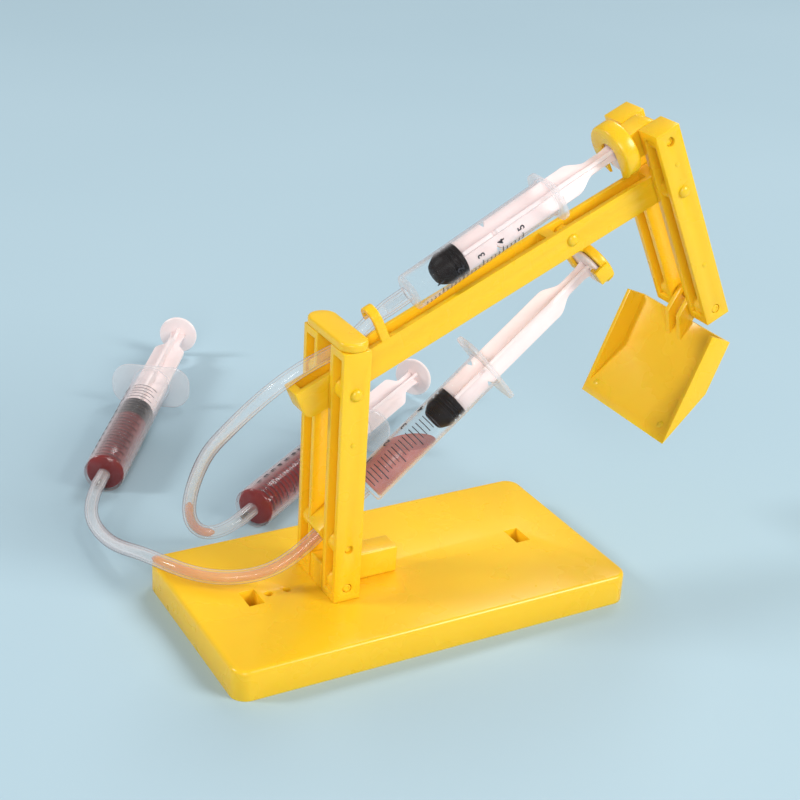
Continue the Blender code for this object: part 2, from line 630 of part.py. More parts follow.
def build_tubes():
    lift_route = [
        nozzle_tip(LIFT_CONTROL, 0.3), nozzle_tip(LIFT_CONTROL, 5), (-86.5, 91.0, 5.6), (-87.2, 79.0, 4.6),
        (-86.6, 64.0, 7.4), (-85.0, 51.5, 12.6), (-82.2, 39.0, 15.6), (-77.5, 24.5, 15.5), (-70.2, 14.0, 15.8),
        (-60.5, 8.0, 16.3), (-51.5, 3.8, 18.4), (-44.6, 0.9, 22.4), side_point(B_LIFT, LIFT_ANGLE, -10.5, 2.46),
        side_point(B_LIFT, LIFT_ANGLE, -4, 2.46), side_point(LIFT_ORIGIN, LIFT_ANGLE, -NOZZLE_L - 0.3)]
    elbow_route = [
        nozzle_tip(ELBOW_CONTROL, 0.3), nozzle_tip(ELBOW_CONTROL, 4), (-48.0, 58.6, 4.4), (-54.6, 59.2, 7.4),
        (-58.2, 58.0, 15.5), (-59.2, 53.6, 27.0), (-60.0, 44.0, 42.0), (-60.4, 32.0, 57.0), (-59.0, 17.5, 72.0),
        (-54.8, 5.6, 86.0), (-46.5, 0.9, 95.5), (-36.9, 0.0, 100.9), (-28.6, 0.0, 103.9), (-22.8, 0.0, 105.5),
        (-18.5, 0.0, 108.7),
        side_point(ELBOW_ORIGIN, ELBOW_ANGLE, -17), side_point(ELBOW_ORIGIN, ELBOW_ANGLE, -NOZZLE_L - 0.3)]
    tube("lift_tube", lift_route, TUBE_STEP)
    tube("elbow_tube", elbow_route, TUBE_STEP)


build_base()
build_post()
build_boom()
build_forearm()
build_bucket()
build_trunnion()
build_lift_cylinder()
build_elbow_cylinder()
build_control("lift_control", LIFT_CONTROL)
build_control("elbow_control", ELBOW_CONTROL)
build_tubes()
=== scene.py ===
"""The look of the hydraulic arm kit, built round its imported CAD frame. Lengths are in millimetres."""

import json
import math

import bmesh
import bpy
from mathutils import Matrix, Vector


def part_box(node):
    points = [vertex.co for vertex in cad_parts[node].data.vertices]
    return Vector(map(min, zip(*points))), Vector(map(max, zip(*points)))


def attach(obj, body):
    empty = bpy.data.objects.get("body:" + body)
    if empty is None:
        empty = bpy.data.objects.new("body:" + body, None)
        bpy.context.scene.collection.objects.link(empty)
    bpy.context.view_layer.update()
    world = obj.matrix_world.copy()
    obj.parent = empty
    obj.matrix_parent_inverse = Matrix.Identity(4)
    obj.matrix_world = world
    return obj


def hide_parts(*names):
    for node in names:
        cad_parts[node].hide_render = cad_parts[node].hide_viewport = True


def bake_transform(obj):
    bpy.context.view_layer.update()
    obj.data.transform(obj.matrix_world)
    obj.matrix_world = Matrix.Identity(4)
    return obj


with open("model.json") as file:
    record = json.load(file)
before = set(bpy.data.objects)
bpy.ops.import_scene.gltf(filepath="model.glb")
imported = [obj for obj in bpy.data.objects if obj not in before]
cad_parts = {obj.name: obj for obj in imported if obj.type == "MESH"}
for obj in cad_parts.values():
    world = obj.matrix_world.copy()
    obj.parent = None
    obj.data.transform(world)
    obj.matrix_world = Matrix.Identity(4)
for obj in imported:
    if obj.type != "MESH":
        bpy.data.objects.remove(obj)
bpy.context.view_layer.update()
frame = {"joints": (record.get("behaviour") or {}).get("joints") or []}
MM = 0.001

# ---------------------------------------------------------------- sizes, from the frame where it states them

JOINTS = {joint["name"]: joint for joint in frame["joints"]}


def pivot(joint):
    x, _, z = JOINTS[joint]["pos_m"]
    return (x / MM, z / MM)


def box_mm(node):
    low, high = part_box(node)
    return low / MM, high / MM


A_BOOM, B_LIFT = pivot("boom_hinge"), pivot("lift_swing")
E_ELBOW, K_BUCKET = pivot("elbow_hinge"), pivot("bucket_tilt")
T_LOW, T_HIGH = box_mm("rod_clip_pin")
T_CLIP = ((T_LOW.x + T_HIGH.x) / 2, (T_LOW.z + T_HIGH.z) / 2)
C_LOW, C_HIGH = box_mm("lift_clip_pin")
C_CLIP = ((C_LOW.x + C_HIGH.x) / 2, (C_LOW.z + C_HIGH.z) / 2)
BASE_LOW, BASE_HIGH = box_mm("base_plate")
BASE_L, BASE_W, BASE_H = BASE_HIGH - BASE_LOW
LIFT_AXIS = Vector(JOINTS["lift_extend"]["axis"])
ELBOW_AXIS = Vector(JOINTS["elbow_extend"]["axis"])
LIFT_HAND_AXIS = Vector(JOINTS["lift_hand_slide"]["axis"])
ELBOW_HAND_AXIS = Vector(JOINTS["elbow_hand_slide"]["axis"])

BASE_CORNER_R = 6.0
LEG_W, LEG_IN, LEG_OUT = 10.4, 5.1, 15.7
LEG_FLANGE, LEG_WEB_HALF, LEG_END, LEG_BOSS_R = 2.2, 1.2, 3.0, 4.3
POST_X, POST_FOOT, POST_TOP, FOOT_PIN_Z = -26.5, 12.15, 109.8, 17.2
PIN_R, PIN_GAP = 1.6, 0.3
BOOM_ANGLE = math.degrees(math.atan2(E_ELBOW[1] - A_BOOM[1], E_ELBOW[0] - A_BOOM[0]))
BOOM_U0, BOOM_U1 = -16.8, 149.4
BOOM_HALF_N, BOOM_HALF_Y = 5.7, 4.7
LUG_SLOT = (95.2, 113.0)
C_U = math.dist(A_BOOM, C_CLIP)

# The walls are thinner than the CAD's, because a real barrel's contents look as wide as the barrel.
# `rod` runs from the seal's back to the thumb disc, and `per_ml` is the barrel's length for 1 ml.
SMALL = dict(od=13.8, bore=12.8, barrel=61.3, rod=69.7, flange=(32.0, 16.0, 1.8), per_ml=8.8,
             disc_r=8.2, rib=5.9, stem=2.7, nose=4.6, seal=11.4)
LARGE = dict(od=17.0, bore=16.1, barrel=85.0, rod=87.8, flange=(36.0, 20.0, 2.0), per_ml=5.5,
             disc_r=9.2, rib=7.2, stem=3.2, nose=1.5, seal=15.0)
ELBOW_FLANGE = (21.5, 15.6)
NOZZLE_R, NOZZLE_BORE_R, NOZZLE_L = 2.1, 1.1, 10.0
DISC_T, SEAL_GAP = 1.6, 0.12
HOSE_END, NOZZLE_TIP = -0.6, -(NOZZLE_L + 0.3)  # along a barrel from its closed end
LIFT_ORIGIN, LIFT_PISTON, LIFT_LEVEL = Vector((-12.6, 0, 47.9)), 45.5, 63.0
ELBOW_ORIGIN, ELBOW_PISTON = Vector((0.57, 0, 121.8)), 22.3
LIFT_HAND_ORIGIN, LIFT_HAND_PISTON = Vector((-72.7, 115.9, 8.62)), 56.9
ELBOW_HAND_ORIGIN, ELBOW_HAND_PISTON = Vector((-27.8, 65.1, 8.62)), 58.2
TUBE_R, TUBE_BORE_R = 2.7, 1.8
CRADLE_BORE = 2.46  # how far the cradle's bore lies above its pivot


# ---------------------------------------------------------------- building blocks

def place_at(origin, along, across):
    """A placement matrix in metres: local X is `along`, local Y is `across`."""
    x, y = Vector(along).normalized(), Vector(across).normalized()
    turn = Matrix((x, y, x.cross(y))).transposed().to_4x4()
    return Matrix.Translation(Vector(origin) * MM) @ turn @ Matrix.Scale(MM, 4)


def side_place(origin=(0.0, 0.0), angle=0.0):
    """Local X runs at `angle` above the base's length, local Y square to it upwards, local Z towards -Y."""
    a = math.radians(angle)
    return place_at((origin[0], 0, origin[1]), (math.cos(a), 0, math.sin(a)), (-math.sin(a), 0, math.cos(a)))


def axis_place(origin, direction, up=(0, 0, 1)):
    """Local Z is `direction`, and local X is square to it and to `up`."""
    z = Vector(direction).normalized()
    x = Vector(up).cross(z).normalized()
    return place_at(origin, x, z.cross(x))


def in_side(origin, angle, along, across):
    a = math.radians(angle)
    return (origin[0] + along * math.cos(a) - across * math.sin(a),
            origin[1] + along * math.sin(a) + across * math.cos(a))


def settle(name, source):
    """The evaluated shape of `source` as one clean mesh object."""
    bpy.context.view_layer.update()
    graph = bpy.context.evaluated_depsgraph_get()
    mesh = bpy.data.meshes.new_from_object(source.evaluated_get(graph))
    mesh.name = name
    mesh.transform(source.matrix_world)
    bpy.data.objects.remove(source, do_unlink=True)
    bm = bmesh.new()
    bm.from_mesh(mesh)
    bmesh.ops.remove_doubles(bm, verts=bm.verts, dist=1e-6)
    bmesh.ops.recalc_face_normals(bm, faces=bm.faces)
    bm.to_mesh(mesh)
    bm.free()
    mesh.materials.clear()
    made = bpy.data.objects.new(name, mesh)
    bpy.context.scene.collection.objects.link(made)
    return made


def from_bmesh(name, bm):
    """A linked object made of the bmesh, which it frees."""
    bmesh.ops.recalc_face_normals(bm, faces=bm.faces)
    mesh = bpy.data.meshes.new(name)
    bm.to_mesh(mesh)
    bm.free()
    obj = bpy.data.objects.new(name, mesh)
    bpy.context.scene.collection.objects.link(obj)
    return obj


def plate(name, outline, z0, z1, place, holes=()):
    """A flat outline, less the outlines in `holes`, filled and extruded from local z0 to z1."""
    data = bpy.data.curves.new(name, "CURVE")
    data.dimensions = "2D"
    data.fill_mode = "BOTH"
    data.extrude = (z1 - z0) / 2
    for points in [outline, *holes]:
        spline = data.splines.new("POLY")
        spline.points.add(len(points) - 1)
        for point, (x, y) in zip(spline.points, points):
            point.co = (x, y, 0, 1)
        spline.use_cyclic_u = True
    obj = bpy.data.objects.new(name, data)
    bpy.context.scene.collection.objects.link(obj)
    obj.matrix_world = place @ Matrix.Translation((0, 0, (z0 + z1) / 2))
    return settle(name, obj)


def box(name, lo, hi, place=None):
    x0, y0, z0 = lo
    x1, y1, z1 = hi
    return plate(name, [(x0, y0), (x1, y0), (x1, y1), (x0, y1)], z0, z1, place or Matrix.Scale(MM, 4))


def turned(name, profile, place, steps=64):
    """A profile of (radius, height) points, top to bottom, turned about local Z."""
    mesh = bpy.data.meshes.new(name)
    edges = [(i, i + 1) for i in range(len(profile) - 1)]
    if profile[0][0] > 0:
        edges.append((len(profile) - 1, 0))
    mesh.from_pydata([(r * MM, 0, h * MM) for r, h in profile], edges, [])
    obj = bpy.data.objects.new(name, mesh)
    bpy.context.scene.collection.objects.link(obj)
    screw = obj.modifiers.new("turn", "SCREW")
    screw.steps = steps
    screw.render_steps = steps
    screw.use_merge_vertices = True
    screw.merge_threshold = 0.00001
    obj.matrix_world = place @ Matrix.Scale(1 / MM, 4)
    return settle(name, obj)


def rod(name, xz, r, y0, y1, steps=48):
    """A plain round bar along Y."""
    return turned(name, [(0, y1), (r, y1), (r, y0), (0, y0)],
                  place_at((xz[0], 0, xz[1]), (1, 0, 0), (0, 0, -1)), steps)


def combine(obj, tools, operation):
    """Applies each tool to the object at once and removes the tool."""
    for tool in tools:
        mod = obj.modifiers.new("tool", "BOOLEAN")
        mod.operation = operation
        mod.solver = "EXACT"
        mod.object = tool
        bpy.context.view_layer.update()
        graph = bpy.context.evaluated_depsgraph_get()
        mesh = bpy.data.meshes.new_from_object(obj.evaluated_get(graph))
        obj.modifiers.clear()
        obj.data = mesh
        bpy.data.objects.remove(tool, do_unlink=True)
    return obj


def cut(obj, *tools):
    return combine(obj, tools, "DIFFERENCE")


def add(obj, *tools):
    return combine(obj, tools, "UNION")


def soften(obj, width=0.35, segments=2, angle=32):
    """Rounds the sharp edges, as a mould leaves them, and shades the rest smooth."""
    bm = bmesh.new()
    bm.from_mesh(obj.data)
    bmesh.ops.remove_doubles(bm, verts=bm.verts, dist=2e-6)
    bmesh.ops.dissolve_limit(bm, angle_limit=math.radians(0.4), verts=bm.verts, edges=bm.edges)
    sharp = [e for e in bm.edges if len(e.link_faces) == 2 and e.calc_face_angle(0) > math.radians(angle)]
    bmesh.ops.bevel(bm, geom=sharp, offset=width * MM, offset_type="OFFSET", segments=segments,
                    profile=0.5, affect="EDGES", clamp_overlap=True)
    bmesh.ops.remove_doubles(bm, verts=bm.verts, dist=1e-6)
    bmesh.ops.triangulate(bm, faces=[f for f in bm.faces if len(f.verts) > 4])
    bmesh.ops.recalc_face_normals(bm, faces=bm.faces)
    bm.to_mesh(obj.data)
    bm.free()
    return smooth(obj)


def smooth(obj, angle=38):
    for polygon in obj.data.polygons:
        polygon.use_smooth = True
    obj.data.set_sharp_from_angle(angle=math.radians(angle))
    return obj


def arc(cx, cy, r, a0, a1, count):
    span = [math.radians(a0 + (a1 - a0) * i / count) for i in range(count + 1)]
    return [(cx + r * math.cos(a), cy + r * math.sin(a)) for a in span]


def circle(cx, cy, r, count=48):
    return arc(cx, cy, r, 0, 360 * (count - 1) / count, count - 1)


def rounded(w, h, r, count, cx=0.0):
    x, y = w / 2 - r, h / 2 - r
    return (arc(cx + x, y, r, 0, 90, count) + arc(cx - x, y, r, 90, 180, count)
            + arc(cx - x, -y, r, 180, 270, count) + arc(cx + x, -y, r, 270, 360, count))


def hull(points):
    """The convex outline round some points, anticlockwise."""
    points = sorted(set((round(x, 5), round(y, 5)) for x, y in points))

    def half(run):
        out = []
        for p in run:
            while len(out) > 1 and ((out[-1][0] - out[-2][0]) * (p[1] - out[-2][1])
                                    - (out[-1][1] - out[-2][1]) * (p[0] - out[-2][0])) <= 1e-9:
                out.pop()
            out.append(p)
        return out[:-1]

    return half(points) + half(points[::-1])


def piece(obj, material, body, node=None):
    """Gives a finished piece its material and its body, and hides the CAD node it stands for."""
    obj.data.materials.clear()
    obj.data.materials.append(material)
    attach(obj, body)
    if node:
        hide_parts(node)
    return obj


# ---------------------------------------------------------------- materials

def new_material(name, colour, roughness, **settings):
    material = bpy.data.materials.new(name)
    material.use_nodes = True
    shader = material.node_tree.nodes["Principled BSDF"]
    shader.inputs["Base Color"].default_value = (*colour, 1)
    shader.inputs["Roughness"].default_value = roughness
    for key, value in settings.items():
        shader.inputs[key.replace("_", " ")].default_value = value
    return material, material.node_tree, shader


def noise(tree, scale_per_m, detail):
    """Noise in the object's own space. Each piece's origin is the frame's, so the pattern is in metres."""
    place = tree.nodes.new("ShaderNodeTexCoord")
    texture = tree.nodes.new("ShaderNodeTexNoise")
    texture.inputs["Scale"].default_value = scale_per_m
    texture.inputs["Detail"].default_value = detail
    texture.inputs["Roughness"].default_value = 0.55
    tree.links.new(place.outputs["Object"], texture.inputs["Vector"])
    return texture.outputs["Fac"]


def spread(tree, value, low, high):
    node = tree.nodes.new("ShaderNodeMapRange")
    node.inputs["From Min"].default_value = 0.3
    node.inputs["From Max"].default_value = 0.7
    node.inputs["To Min"].default_value = low
    node.inputs["To Max"].default_value = high
    tree.links.new(value, node.inputs["Value"])
    return node.outputs["Result"]


def two_tone(tree, value, first, second):
    ramp = tree.nodes.new("ShaderNodeValToRGB")
    ramp.color_ramp.elements[0].position = 0.32
    ramp.color_ramp.elements[0].color = (*first, 1)
    ramp.color_ramp.elements[1].position = 0.70
    ramp.color_ramp.elements[1].color = (*second, 1)
    tree.links.new(value, ramp.inputs["Fac"])
    return ramp.outputs["Color"]


def bump(tree, shader, value, strength, distance_m):
    node = tree.nodes.new("ShaderNodeBump")
    node.inputs["Strength"].default_value = strength
    node.inputs["Distance"].default_value = distance_m
    tree.links.new(value, node.inputs["Height"])
    tree.links.new(node.outputs["Normal"], shader.inputs["Normal"])


def yellow_abs():
    """Bright moulded ABS: a faint cloudiness in the colour, uneven gloss, a trace of orange peel."""
    material, tree, shader = new_material("yellow_abs", (0.93, 0.56, 0.02), 0.25, Specular_IOR_Level=0.5,
                                          Subsurface_Weight=0.25, Subsurface_Scale=0.0022,
                                          Subsurface_Radius=(1.0, 0.45, 0.05))
    clouds = noise(tree, 45, 4)
    colour = two_tone(tree, clouds, (0.945, 0.562, 0.014), (0.955, 0.575, 0.016))
    tree.links.new(colour, shader.inputs["Base Color"])
    tree.links.new(spread(tree, noise(tree, 60, 2), 0.25, 0.31), shader.inputs["Roughness"])
    bump(tree, shader, noise(tree, 900, 1), 0.02, 0.00005)
    return material


def clear_plastic(name, tint, edge_tint_and_shade, face_alpha, edge_alpha, roughness):
    """Thin clear plastic: nearly unseen face on, and with the edge colour showing where it is seen edge on.
    On the barrels and flanges that colour is the plastic's own tint; on the tubing it is painted shade, a
    dark rim along the tube's edges.
    """
    material, tree, shader = new_material(name, tint, roughness, IOR=1.8, Specular_IOR_Level=0.8)
    edge = tree.nodes.new("ShaderNodeLayerWeight")
    edge.inputs["Blend"].default_value = 0.4
    mix = tree.nodes.new("ShaderNodeMix")
    mix.data_type = "RGBA"
    # The edge colour, blended in where the surface is seen edge on: the plastic's own tint, and on the tubing
    # painted shade.
    mix.inputs[7].default_value = (*edge_tint_and_shade, 1)
    rim = tree.nodes.new("ShaderNodeMapRange")
    rim.interpolation_type = "SMOOTHSTEP"
    rim.inputs["From Min"].default_value = 0.45
    rim.inputs["From Max"].default_value = 0.85
    tree.links.new(edge.outputs["Facing"], rim.inputs["Value"])
    tree.links.new(rim.outputs["Result"], mix.inputs[0])
    tree.links.new(two_tone(tree, noise(tree, 120, 3), tuple(0.95 * c for c in tint), tint), mix.inputs[6])
    tree.links.new(mix.outputs[2], shader.inputs["Base Color"])
    uneven = spread(tree, noise(tree, 260, 4), roughness * 0.7, roughness * 1.5)
    tree.links.new(uneven, shader.inputs["Roughness"])
    ramp = tree.nodes.new("ShaderNodeMapRange")
    ramp.interpolation_type = "SMOOTHSTEP"
    ramp.inputs["From Min"].default_value = 0.25
    ramp.inputs["From Max"].default_value = 0.92
    ramp.inputs["To Min"].default_value = face_alpha
    ramp.inputs["To Max"].default_value = edge_alpha
    tree.links.new(edge.outputs["Facing"], ramp.inputs["Value"])
    tree.links.new(ramp.outputs["Result"], shader.inputs["Alpha"])
    return material


def plunger_plastic():
    material, tree, shader = new_material("plunger_plastic", (0.95, 0.86, 0.85), 0.35, Subsurface_Weight=0.35,
                                          Subsurface_Scale=0.003, Subsurface_Radius=(1.0, 0.8, 0.75))
    tree.links.new(two_tone(tree, noise(tree, 70, 4), (0.93, 0.755, 0.74), (0.985, 0.815, 0.805)),
                   shader.inputs["Base Color"])
    tree.links.new(spread(tree, noise(tree, 200, 4), 0.28, 0.42), shader.inputs["Roughness"])
    bump(tree, shader, noise(tree, 800, 2), 0.08, 0.0001)
    return material


def black_rubber():
    material, tree, shader = new_material("black_rubber", (0.012, 0.009, 0.009), 0.5, Specular_IOR_Level=0.12)
    tree.links.new(two_tone(tree, noise(tree, 400, 5), (0.003, 0.002, 0.002), (0.009, 0.005, 0.005)),
                   shader.inputs["Base Color"])
    tree.links.new(spread(tree, noise(tree, 600, 4), 0.38, 0.62), shader.inputs["Roughness"])
    bump(tree, shader, noise(tree, 2500, 2), 0.15, 0.00008)
    return material


def liquid(name, deep, light, alpha):
    material, tree, shader = new_material(name, light, 0.12, Specular_IOR_Level=0.4, Alpha=alpha,
                                          Subsurface_Weight=0.2, Subsurface_Scale=0.003)
    tree.links.new(two_tone(tree, noise(tree, 60, 3), deep, light), shader.inputs["Base Color"])
    tree.links.new(spread(tree, noise(tree, 120, 3), 0.08, 0.2), shader.inputs["Roughness"])
    return material


def ink():
    material, tree, shader = new_material("scale_ink", (0.02, 0.02, 0.025), 0.45)
    tree.links.new(two_tone(tree, noise(tree, 1500, 3), (0.012, 0.012, 0.016), (0.045, 0.04, 0.05)),
                   shader.inputs["Base Color"])
    return material


YELLOW = yellow_abs()
BARREL = clear_plastic("barrel_plastic", (0.95, 0.89, 0.90), (0.84, 0.75, 0.77), 0.010, 0.72, 0.07)
FLANGE = clear_plastic("flange_plastic", (0.93, 0.88, 0.89), (0.88, 0.84, 0.86), 0.26, 0.72, 0.18)
# The tubing's dark edge colour is painted shade: a dark rim where the tube is seen edge on.
TUBING = clear_plastic("tube_plastic", (0.97, 0.92, 0.93), (0.20, 0.11, 0.12), 0.075, 0.86, 0.08)
PLUNGER = plunger_plastic()
RUBBER = black_rubber()
RED = liquid("red_water", (0.16, 0.014, 0.016), (0.27, 0.03, 0.03), 0.96)
PALE = liquid("pale_water", (0.50, 0.14, 0.12), (0.68, 0.24, 0.19), 0.62)
SLUG = liquid("tube_water", (0.90, 0.26, 0.05), (0.96, 0.42, 0.08), 0.4)
INK = ink()


# ---------------------------------------------------------------- moulded pieces

def recess_outline(a0, a1, bosses, side):
    """One recess of an H-section leg, along it from a0 to a1. Round bosses stand in it at the pins."""
    stops = [a0, a1]
    for a in bosses:
        stops += [a - LEG_BOSS_R * math.cos(math.radians(16.2 + 147.6 * i / 20)) for i in range(21)]
    stops = sorted(s for s in stops if a0 <= s <= a1)
    inner = [(s, max([LEG_WEB_HALF] + [math.sqrt(max(LEG_BOSS_R ** 2 - (s - a) ** 2, 0)) for a in bosses]))
             for s in stops]
    wall = LEG_W / 2 + 1
    return [(x, side * y) for x, y in inner + [(a1, wall), (a0, wall)]]


def leg(name, start, end, side, holes, bumps, body, node):
    """An H-section leg between two (x, z) points. `holes` lists (distance from the start, radius)."""
    length = math.dist(start, end)
    place = side_place(start, math.degrees(math.atan2(end[1] - start[1], end[0] - start[0])))
    z0, z1 = sorted((-side * LEG_IN, -side * LEG_OUT))
    obj = box(name, (0, -LEG_W / 2, z0), (length, LEG_W / 2, z1), place)
    for face in (-1, 1):
        outline = recess_outline(LEG_END, length - LEG_END, [a for a, r in holes], face)
        cut(obj, plate("recess", outline, z0 + LEG_FLANGE, z1 - LEG_FLANGE, place))
    for a, r in holes:
        cut(obj, turned("hole", [(0, z1 + 1), (r, z1 + 1), (r, z0 - 1), (0, z0 - 1)],
                        place @ Matrix.Translation((a, 0, 0)), 32))
    soften(obj, 0.3)
    outer = z1 if side < 0 else -z0
    for i, (a, across) in enumerate(bumps):
        face_place = place @ Matrix.Translation((a, across, 0))
        if side > 0:
            face_place = face_place @ Matrix.Rotation(math.pi, 4, "X")
        mark = turned(f"{name}_mark_{i}", [(0, outer + 0.35), (0.5, outer + 0.3), (0.95, outer + 0.12),
                                           (1.1, outer - 0.2), (0, outer - 0.2)], face_place, 20)
        piece(smooth(mark), YELLOW, body)
    return piece(obj, YELLOW, body, node)


def pin(name, xz, r, reach, head, body, node, near=-LEG_OUT):
    """A pin along Y with its domed head, if any, outside the near face."""
    place = place_at((xz[0], 0, xz[1]), (1, 0, 0), (0, 0, -1))
    if head:
        r2, rise = head
        dome_line = [(r2 * math.sin(math.radians(a)), near - rise * math.cos(math.radians(a)))
                     for a in range(90, -1, -10)]
        profile = [(0, reach), (r, reach), (r, near), *dome_line]
    else:
        profile = [(0, reach - 0.2), (r * 0.5, reach - 0.2), (r * 0.6, reach), (r, reach - 0.15),
                   (r, -reach + 0.15), (r * 0.6, -reach), (r * 0.5, -reach + 0.2), (0, -reach + 0.2)]
    return piece(smooth(turned(name, profile, place, 40)), YELLOW, body, node)


def build_base():
    base = plate("base", rounded(BASE_L, BASE_W, BASE_CORNER_R, 10), 0, BASE_H, Matrix.Scale(MM, 4))
    cell_l, cell_w, rib, roof, first_y = 23.8, 14.25, 2.0, BASE_H - 2.5, 8.5
    for column in range(3):
        x0 = 2.5 + column * (cell_l + rib)
        for y0 in (first_y, first_y + cell_w + rib):
            for sx in (-1, 1):
                for sy in (-1, 1):
                    xs, ys = sorted((sx * x0, sx * (x0 + cell_l))), sorted((sy * y0, sy * (y0 + cell_w)))
                    cut(base, box("cell", (xs[0], ys[0], -1), (xs[1], ys[1], roof)))
    for x0 in (3.5, 27.5):
        cut(base, box("spine_cell", (x0, -6.5, -1), (x0 + 22, 6.5, roof)))
    bm = bmesh.new()
    bm.from_mesh(base.data)
    bmesh.ops.dissolve_limit(bm, angle_limit=math.radians(0.4), verts=bm.verts, edges=bm.edges)
    rim = [e for e in bm.edges if all(v.co.z > (BASE_H - 0.01) * MM for v in e.verts)]
    bmesh.ops.bevel(bm, geom=rim, offset=1.7 * MM, offset_type="OFFSET", segments=5, profile=0.5,
                    affect="EDGES")
    bm.to_mesh(base.data)
    bm.free()
    for x0 in (-60, 53.5):
        cut(base, box("slot", (x0, -5, -1), (x0 + 6, 5, BASE_H + 1)))
    for x in (-50.3, -43.0):
        cut(base, turned("hole", [(0, 14), (1.6, 14), (1.6, -1), (0, -1)],
                         Matrix.Translation((x * MM, 0, 0)) @ Matrix.Scale(MM, 4), 32))
    soften(base, 0.22, 2, 40)
    piece(base, YELLOW, "base", "base_plate")

    block = box("foot", (-31.7, -4.6, BASE_H + 0.05), (0, 4.6, 22.8))
    cut(block, rod("hole", (POST_X, FOOT_PIN_Z), 1.8, -6, 6))
    piece(soften(block, 0.7, 3), YELLOW, "base", "foot_block")


def build_post():
    foot = (POST_X, POST_FOOT)
    holes = [(FOOT_PIN_Z - foot[1], 1.8), (B_LIFT[1] - foot[1], 1.65), (A_BOOM[1] - foot[1], PIN_R + PIN_GAP)]
    for name, node, side in (("near_post_leg", "post_leg_near", -1), ("far_post_leg", "post_leg_far", 1)):
        leg(name, foot, (POST_X, POST_TOP), side, holes, [(62.9, 0.4)], "base", node)
    pin("foot_pin", (POST_X, FOOT_PIN_Z), PIN_R - 0.1, 15.5, None, "base", "leg_pin")
    pin("boom_hinge_pin", A_BOOM, PIN_R, 15.3, (2.35, 1.4), "base", "boom_pin")
    cap = plate("top_cap", rounded(10.8, 33.0, 5.2, 12, -26.6), POST_TOP + 0.1, 113.3, Matrix.Scale(MM, 4))
    piece(soften(cap, 0.9, 4), YELLOW, "base", "post_cap")


def build_boom():
    place = side_place(A_BOOM, BOOM_ANGLE)
    half_n, half_y = BOOM_HALF_N, BOOM_HALF_Y
    outline = ([(BOOM_U1, -half_n), (BOOM_U1, half_n), (BOOM_U0, half_n)]
               + arc(BOOM_U0 + 3.5, -half_n + 3.5, 3.5, 180, 270, 12))
    boom = plate("boom", outline, -half_y, half_y, place)
    wall = half_y - 2.0
    rear = (BOOM_U0 + 3, LUG_SLOT[0] - 3.8)
    cut(boom, box("channel", (rear[0], 2.6, -wall), (rear[1], 8, wall), place))
    cut(boom, box("channel", (rear[0], -8, -wall), (rear[1], -2.6, wall), place))
    front = [(LUG_SLOT[0], -8), (LUG_SLOT[1], -8), (LUG_SLOT[1], 2 - half_n), (137, 2 - half_n), (137, 8),
             (LUG_SLOT[0], 8)]
    cut(boom, plate("channel", front, -wall, wall, place))
    for u, r in ((0, 1.9), (C_U, 1.8), (math.dist(A_BOOM, E_ELBOW), 1.9)):
        across = place @ Matrix.Translation((u, 0, 0))
        cut(boom, turned("hole", [(0, 7), (r, 7), (r, -7), (0, -7)], across, 32))
    piece(soften(boom, 0.35), YELLOW, "boom", "boom_beam")

    at = in_side(A_BOOM, BOOM_ANGLE, 20.5, 0)
    a = math.radians(BOOM_ANGLE)
    across = place_at((at[0], 0, at[1]), (0, 1, 0), (-math.sin(a), 0, math.cos(a)))
    ring, inner, outer = 13.2, 3.0, 5.0
    shape = [(-outer, half_n + 0.02), (-outer + 2.1, half_n + 0.02)]
    shape += arc(0, ring, inner, 180, -20, 28) + arc(0, ring, outer, -20, 180, 28)
    piece(soften(plate("tube_hook", shape, -1.75, 1.75, across), 0.7, 4), YELLOW, "boom", "nozzle_hook")
    pin("lift_pin", C_CLIP, 1.5, 4.5, (2.35, 1.35), "boom", "lift_clip_pin", near=-half_y)


def build_forearm():
    down = (Vector(K_BUCKET) - Vector(T_CLIP)).normalized()
    margin = 4.8
    start, end = Vector(T_CLIP) - down * margin, Vector(K_BUCKET) + down * margin
    holes = [(margin, 1.8), ((Vector(E_ELBOW) - start).dot(down), 1.9),
             ((Vector(K_BUCKET) - start).dot(down), 1.8)]
    marks = [(14.5, 0.3), (59.5, 0.3)]
    for name, node, side in (("near_forearm_leg", "forearm_leg_near", -1),
                             ("far_forearm_leg", "forearm_leg_far", 1)):
        leg(name, tuple(start), tuple(end), side, holes, marks, "forearm", node)
    pin("elbow_hinge_pin", E_ELBOW, PIN_R, 15.3, (2.35, 1.4), "forearm", "elbow_pin")
    pin("rod_pin", T_CLIP, 1.5, 14.7, None, "forearm", "rod_clip_pin")
    pin("bucket_hinge_pin", K_BUCKET, 1.5, 15.6, None, "forearm", "bucket_pin")


